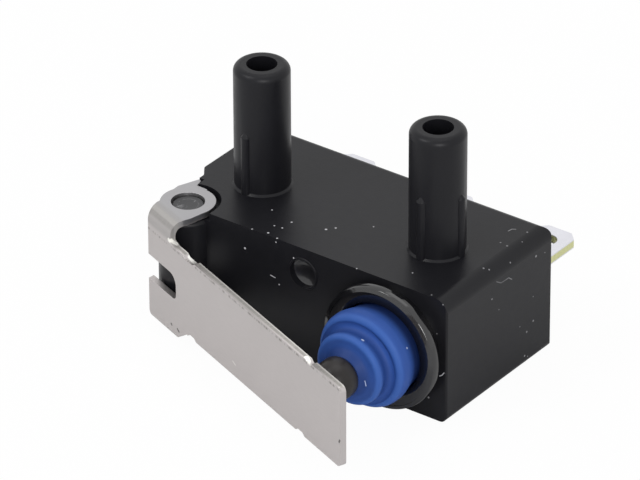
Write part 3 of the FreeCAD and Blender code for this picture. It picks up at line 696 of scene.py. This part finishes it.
def pin_polymer():
    """Dark grey pin, its end scuffed by pressing with pale scrape marks and a faint ring."""
    net = Net("pin_polymer")
    at = net.object_points()
    low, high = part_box("hinge_pin")
    centre = (low + high) / 2
    local = net.vector("SUBTRACT", at, (float(centre[0]), float(centre[1]), float(high[2])))
    from_axis = net.from_axis(local, (1.0, 1.0, 0.0))
    grain = net.noise(at, 9000.0, 4.0)
    scrape = net.noise(net.stretched(at, (1.0, 0.25, 1.0), (0.0, 0.0, 0.6)), 7000.0, 4.0)
    scuffs = net.fade(scrape, 0.56, 0.68) * net.fade(net.noise(at, 2200.0, 2.0), 0.42, 0.6)
    ring = net.near(from_axis, 0.4 * MM, 0.035 * MM, 0.01 * MM) * net.fade(grain, 0.4, 0.6)
    tint = net.mix(grain, srgb(52, 52, 54), srgb(70, 70, 72))
    tint = net.mix(ring * 0.35, tint, srgb(130, 130, 132))
    tint = net.mix(net.fade(from_axis, 0.54 * MM, 0.6 * MM) * 0.6, tint, srgb(34, 34, 36))
    net.set(
        Base_Color=net.mix(scuffs * 0.6, tint, srgb(160, 160, 162)),
        Roughness=grain * 0.15 + 0.42,
        Normal=net.bump(grain, 0.00001, 0.5, net.bump(scuffs, 0.00001, 0.5)),
    )
    return net.material


def bare_metal(name, dark, light, roughness, scale=5000.0):
    """Bare metal with fine drawing lines and a slightly clouded tint."""
    net = Net(name)
    at = net.object_points()
    clouds = net.noise(at, 1200.0, 4.0)
    lines = net.noise(net.stretched(at, (0.2, 1.0, 1.0)), scale, 3.0)
    net.set(
        Base_Color=net.mix(clouds, dark, light),
        Metallic=1.0,
        Roughness=lines * 0.12 + roughness,
        Normal=net.bump(lines, 0.000004, 0.4),
    )
    return net.material


def give(material, *names):
    """Dresses solids of the frame in a material."""
    for name in names:
        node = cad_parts[name]
        node.data.materials.clear()
        node.data.materials.append(material)


# Pieces

def middle_of(name):
    """The middle of a solid's box."""
    low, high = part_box(name)
    return (np.array(low) + np.array(high)) / 2


def make_ring(material):
    """Retaining ring: a drawn-in foot, a low domed lip round the boot, and the spigot that clamps
    the boot's flange."""
    low, high = (np.array(v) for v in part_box("boot_ring"))
    outer = (high[0] - low[0]) / 2
    lip, back = low[1], high[1]
    inner, foot = RING_INNER_RADIUS, outer - RING_FOOT[0]
    edge = lip + RING_DOME_FALL
    profile = outline([
        (inner, back, 0), (RING_CLAMP_RADIUS, back, 0.02 * MM), (RING_CLAMP_RADIUS, FRONT, 0),
        (foot, FRONT, 0), (foot, FRONT - RING_FOOT[1], 0.05 * MM),
        (outer, FRONT - 1.4 * RING_FOOT[1], 0.04 * MM), (outer, edge, RING_LIP_ROUND),
        ((outer + inner) / 2, lip, RING_DOME_ROUND), (inner, edge, RING_MOUTH_ROUND),
        (inner, back, 0)], 12)
    ring = turned(profile, middle_of("boot_ring"))
    make_piece("ring_moulding", [ring], material, replaces=["boot_ring"])


def make_boot(material):
    """Rubber boot: flange, base tier that swells to a rounded rim, groove, collar with a dished
    mouth, and the inner skin that follows them."""
    low, high = (np.array(v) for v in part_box("boot"))
    flange = (high[0] - low[0]) / 2
    back = high[1]
    rim_radius, rim = BOOT_RIM[0], FRONT - BOOT_RIM[1]
    collar_radius, collar = BOOT_COLLAR[0], FRONT - BOOT_COLLAR[1]
    groove_radius, groove = BOOT_GROOVE[0], FRONT - BOOT_GROOVE[1]
    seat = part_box("boot_ring")[1][1]
    neck_radius, neck_back = NECK[0] + BOOT_GAP, FRONT - NECK[1] - BOOT_GAP
    neck_front = neck_back - NECK[2] + 2 * BOOT_GAP
    room = PLUNGER_RADIUS + BOOT_GAP
    inner = BOOT_FOOT_RADIUS - 0.8 * BOOT_SKIN
    profile = outline([
        (inner, back, 0), (flange, back, 0.03 * MM), (flange, seat, 0.03 * MM),
        (BOOT_FOOT_RADIUS, seat, 0.05 * MM), (BOOT_FOOT_RADIUS, FRONT - 0.5 * BOOT_BELLY[1], 0.4 * MM),
        (BOOT_BELLY[0], FRONT - BOOT_BELLY[1], 0.4 * MM), (rim_radius, rim, BOOT_RIM_ROUND),
        (groove_radius + 0.37 * MM, rim + 0.02 * MM, 0.12 * MM), (groove_radius, groove, 0.2 * MM),
        (collar_radius - 0.05 * MM, collar + 0.3 * MM, 0.2 * MM), (collar_radius, collar, 0.17 * MM),
        (BOOT_DISH[0] + 0.06 * MM, collar + BOOT_DISH[1] / 2, 0.28 * MM),
        (neck_radius + BOOT_LIP_EDGE, neck_front, 0.03 * MM), (neck_radius, neck_front, 0.02 * MM),
        (neck_radius, neck_back, 0), (room, neck_back, 0),
        (room + 0.1 * MM, groove + BOOT_SKIN, 0), (inner, rim + BOOT_SKIN, 0.1 * MM), (inner, back, 0)], 8)
    boot = make_piece("boot_moulding", [turned(profile, middle_of("boot"))], material,
                      replaces=["boot"], sharp=60)
    1 - PLUNGER_TRAVEL / (FRONT - neck_front)
    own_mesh(boot)


def make_plunger(material):
    """Plunger: domed nose, neck for the boot, guided shaft, flange, core and spigot, all turned, with
    the hook bar that the snap spring hangs on."""
    low, high = (np.array(v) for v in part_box("plunger"))
    centre = np.array(middle_of("hinge_pin"))
    centre[0] = middle_of("boot")[0]
    tip, spigot_end = low[1], high[1]
    flange_front = FRONT + FLANGE_DEPTH
    flange_back = flange_front + FLANGE[1]
    core_end = spigot_end - SPIGOT[1]
    neck_back = FRONT - NECK[1]
    profile = outline([
        (0, tip, 0), (PLUNGER_RADIUS, tip, PLUNGER_RADIUS - 0.02 * MM),
        (PLUNGER_RADIUS, neck_back - NECK[2], NOSE_ROUND), (NECK[0], neck_back - NECK[2], 0.005 * MM),
        (NECK[0], neck_back, 0.02 * MM), (PLUNGER_RADIUS, neck_back, 0.03 * MM),
        (PLUNGER_RADIUS, flange_front, 0.03 * MM), (FLANGE[0], flange_front, 0.04 * MM),
        (FLANGE[0], flange_back, 0.04 * MM), (CORE_RADIUS, flange_back, 0.04 * MM),
        (CORE_RADIUS, core_end, 0.05 * MM), (SPIGOT[0], core_end, 0.02 * MM),
        (SPIGOT[0], spigot_end, 0.06 * MM), (0, spigot_end, 0)], 16)
    hook_back = core_end - HOOK_SETBACK
    bar = soft_bar((low[0], hook_back - HOOK_SIDE, centre[2] - HOOK_WIDTH / 2),
                   (centre[0], hook_back, centre[2] + HOOK_WIDTH / 2), 0.05 * MM)
    shaft = turned(profile, centre, sides=96)
    make_piece("plunger_moulding", [shaft, bar], material, "plunger", ["plunger"])


def make_pin(material):
    """Hinge pin: a plain bar along Z with a small chamfer and dished ends."""
    low, high = (np.array(v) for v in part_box("hinge_pin"))
    radius = (high[0] - low[0]) / 2
    rim, bowl, edge = radius - PIN_CHAMFER, 0.3 * MM, 0.03 * MM
    profile = outline([
        (0, low[2] + PIN_DISH, 0), (0.5 * radius, low[2] + 0.7 * PIN_DISH, bowl), (rim, low[2], edge),
        (radius, low[2] + PIN_CHAMFER, edge), (radius, high[2] - PIN_CHAMFER, edge),
        (rim, high[2], edge), (0.5 * radius, high[2] - 0.7 * PIN_DISH, bowl),
        (0, high[2] - PIN_DISH, 0)], 6)
    bar = turned(profile, middle_of("hinge_pin"), "Z", 72)
    make_piece("pin_bar", [bar], material, replaces=["hinge_pin"])


def make_springs(material):
    """Both springs as round wire: the snap spring with a loop at each end, the return spring with
    closed end turns."""
    low, high = (np.array(v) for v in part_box("snap_spring"))
    wire, radius, turns = SNAP_SPRING
    side = radius + wire / 2
    start = np.array((high[0], float(low[1]) + side, (low[2] + high[2]) / 2))
    end = np.array((low[0], float(high[1]) - side, start[2]))
    axis = (end - start) / np.linalg.norm(end - start)
    inset = axis * 1.7 * LOOP_RADIUS
    body = coil(start + inset, end - inset, radius, wire, turns)
    up = np.cross(axis, (0.0, 0.0, 1.0))
    to_loop = axis * (LOOP_RADIUS + wire / 2)
    loops = [hook_loop(start + to_loop, -axis, up, LOOP_RADIUS, wire, LOOP_SWEEP),
             hook_loop(end - to_loop, axis, up, LOOP_RADIUS, wire, LOOP_SWEEP)]
    make_piece("snap_coil", [body] + loops, material, "blade", ["snap_spring"])
    low, high = (np.array(v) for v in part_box("return_spring"))
    centre = middle_of("return_spring")
    wire, radius, turns = RETURN_SPRING
    wound = coil((centre[0], low[1], centre[2]), (centre[0], high[1], centre[2]),
                 radius, wire, turns, 1.0)
    spring = make_piece("return_coil", [wound], material, replaces=["return_spring"])
    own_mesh(spring)


def make_contact(name, material, body="root"):
    """Contact rivet, turned about a line along Y: two crowned heads on a shank, or one thin head."""
    low, high = (np.array(v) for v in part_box(name))
    radius = (high[0] - low[0]) / 2
    shank, edge = [], HEAD_EDGES[1]
    if high[1] - low[1] > 2 * HEAD_THICKNESS:
        first, second = low[1] + HEAD_THICKNESS, high[1] - HEAD_THICKNESS
        shank = [(radius, first, 0), (radius / 2, first, 0), (radius / 2, second, 0), (radius, second, 0)]
        edge = HEAD_EDGES[0]
    corners = [(0, low[1], 0), (radius, low[1] + HEAD_CROWN, edge), *shank,
               (radius, high[1] - HEAD_CROWN, edge), (0, high[1], 0)]
    rivet = turned(outline(corners, 6), middle_of(name), sides=48)
    make_piece(name + "_rivet", [rivet], material, body, [name])


def make_resin(material):
    """Poured resin: rings of a rounded rectangle from the middle of the back face out to the wall,
    then along the sides and in again under it. The surface sags between the terminals and climbs
    a little at the walls."""
    low, high = (np.array(v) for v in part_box("seal_resin"))
    centre, half = (low + high) / 2, (high - low) / 2
    turn = np.linspace(0, 2 * np.pi, 193)
    power = 14.0
    reach = (np.abs(np.cos(turn)) ** power + np.abs(np.sin(turn)) ** power) ** (-1 / power)
    grow = np.concatenate((np.linspace(0, 0.97, 30), [0.985, 1.0, 1.0, 0.0]))
    x = centre[0] + half[0] * grow[:, None] * reach * np.cos(turn)
    z = centre[2] + half[2] * grow[:, None] * reach * np.sin(turn)
    wall = np.clip((grow[:, None] - 0.9) / 0.1, 0, 1) ** 2
    terminals = np.array([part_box("common_terminal")[1][0] - TERMINAL_HALF_WIDTH,
                          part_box("closed_terminal")[0][0] + TERMINAL_HALF_WIDTH,
                          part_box("open_terminal")[1][0] - TERMINAL_HALF_WIDTH])
    across = np.clip(np.abs(x[..., None] - terminals) - TERMINAL_HALF_WIDTH, 0, None)
    above = np.clip(np.abs(z - centre[2])[..., None] - TERMINAL_HALF_SHEET, 0, None)
    near = np.exp(-np.hypot(across, above).min(axis=-1) / RESIN_CLIMB)
    y = high[1] - RESIN_SAG * (1 - np.maximum(wall, near)) + 0 * x
    y[-2:] = low[1]
    make_piece("resin_fill", [np.stack((x, y, z), axis=-1)], material, replaces=["seal_resin"])


def add_camera():
    """A long lens at the photograph's angle, looking at the fitted target."""
    azimuth, elevation = math.radians(CAMERA_AZIMUTH), math.radians(CAMERA_ELEVATION)
    back = Vector((math.sin(azimuth) * math.cos(elevation),
                   -math.cos(azimuth) * math.cos(elevation), math.sin(elevation)))
    data = bpy.data.cameras.new("camera")
    data.sensor_width = SENSOR_WIDTH
    data.lens = SENSOR_WIDTH * FOCAL_PIXELS / PICTURE_WIDTH
    data.clip_start = 0.01
    data.clip_end = 10.0
    camera = bpy.data.objects.new("camera", data)
    bpy.context.scene.collection.objects.link(camera)
    turn = back.to_track_quat("Z", "Y").to_matrix().to_4x4()
    roll = Matrix.Rotation(math.radians(CAMERA_ROLL), 4, "Z")
    camera.matrix_world = Matrix.Translation(CAMERA_TARGET + back * CAMERA_DISTANCE) @ turn @ roll
    bpy.context.scene.camera = camera


def add_lamp(name, place, size, watts):
    """A square soft white lamp that faces the object."""
    data = bpy.data.lights.new(name, "AREA")
    data.shape = "SQUARE"
    data.size = size
    data.energy = watts
    lamp = bpy.data.objects.new(name, data)
    bpy.context.scene.collection.objects.link(lamp)
    where = Vector(place)
    turn = (where - CAMERA_TARGET).to_track_quat("Z", "Y").to_matrix().to_4x4()
    lamp.matrix_world = Matrix.Translation(where) @ turn


def add_world():
    """White where it is seen or mirrored, dimmer as light on the object."""
    world = bpy.data.worlds.new("studio")
    world.use_nodes = True
    bpy.context.scene.world = world
    tree = world.node_tree
    background = tree.nodes["Background"]
    path = tree.nodes.new("ShaderNodeLightPath")
    seen = tree.nodes.new("ShaderNodeMath")
    seen.operation = "MAXIMUM"
    tree.links.new(path.outputs["Is Camera Ray"], seen.inputs[0])
    tree.links.new(path.outputs["Is Transmission Ray"], seen.inputs[1])
    mirrored = tree.nodes.new("ShaderNodeMath")
    mirrored.operation = "MAXIMUM"
    tree.links.new(seen.outputs[0], mirrored.inputs[0])
    tree.links.new(path.outputs["Is Glossy Ray"], mirrored.inputs[1])
    level = tree.nodes.new("ShaderNodeMix")
    level.data_type = "FLOAT"
    tree.links.new(mirrored.outputs[0], level.inputs[0])
    level.inputs[2].default_value = WORLD_LIGHT
    level.inputs[3].default_value = WORLD_SEEN
    background.inputs["Color"].default_value = (1.0, 1.0, 1.0, 1.0)
    tree.links.new(level.outputs[0], background.inputs["Strength"])


def add_floor():
    """Pale floor that shows white to the camera apart from the object's faint shadow."""
    signs = (-1, -1), (1, -1), (1, 1), (-1, 1)
    corners = [(across * FLOOR_HALF, along * FLOOR_HALF, FLOOR_LEVEL) for across, along in signs]
    mesh = bpy.data.meshes.new("floor")
    mesh.from_pydata(corners, [], [(0, 1, 2, 3)])
    floor = bpy.data.objects.new("floor", mesh)
    bpy.context.scene.collection.objects.link(floor)
    net = Net("floor_white")
    net.set(Base_Color=(0.92, 0.92, 0.92), Roughness=1.0, Specular_IOR_Level=0.0)
    glow = net.add("ShaderNodeEmission", {"Color": (1.0, 1.0, 1.0), "Strength": 1.0})
    camera_ray = net.add("ShaderNodeLightPath", output="Is Camera Ray")
    mixed = net.add("ShaderNodeMixShader", {
        0: camera_ray * FLOOR_GLOW, 1: Wire(net, net.shader.outputs[0]), 2: glow})
    net.put(net.tree.nodes["Material Output"].inputs["Surface"], mixed)
    mesh.materials.append(net.material)


# Scene

add_camera()
add_world()
add_floor()
for name, (place, size, watts) in LAMPS.items():
    add_lamp(name, place, size, watts)

bpy.context.scene.view_settings.view_transform = "Standard"

black = moulded_black()
gloss = glossy_black()
steel = lever_steel()
plated = silver_on_brass()
contact_metal = bare_metal("contact_silver", srgb(205, 203, 198), srgb(224, 222, 217), 0.2)
copper = bare_metal("blade_copper", srgb(176, 118, 82), srgb(204, 146, 104), 0.26)
spring_wire = bare_metal("spring_wire", srgb(156, 156, 160), srgb(184, 184, 187), 0.26)
give(black, "case", "base_block")
give(gloss, "boot_ring", "seal_resin")
give(steel, "lever")
give(plated, "common_terminal", "closed_terminal", "open_terminal")
give(contact_metal, "closed_contact", "open_contact", "moving_contact")
give(copper, "moving_blade")
give(spring_wire, "snap_spring", "return_spring")
rubber, plunger_skin, pin_skin = boot_rubber(), plunger_black(), pin_polymer()
give(rubber, "boot")
give(plunger_skin, "plunger")
give(pin_skin, "hinge_pin")

make_ring(gloss)
make_boot(rubber)
make_plunger(plunger_skin)
make_pin(pin_skin)
make_springs(spring_wire)
make_resin(gloss)
make_contact("closed_contact", contact_metal)
make_contact("open_contact", contact_metal)
make_contact("moving_contact", contact_metal, "blade")
soften("lever", steel, 0.03 * MM, "lever")
for name in ("common_terminal", "closed_terminal", "open_terminal"):
    soften(name, plated, 0.02 * MM)
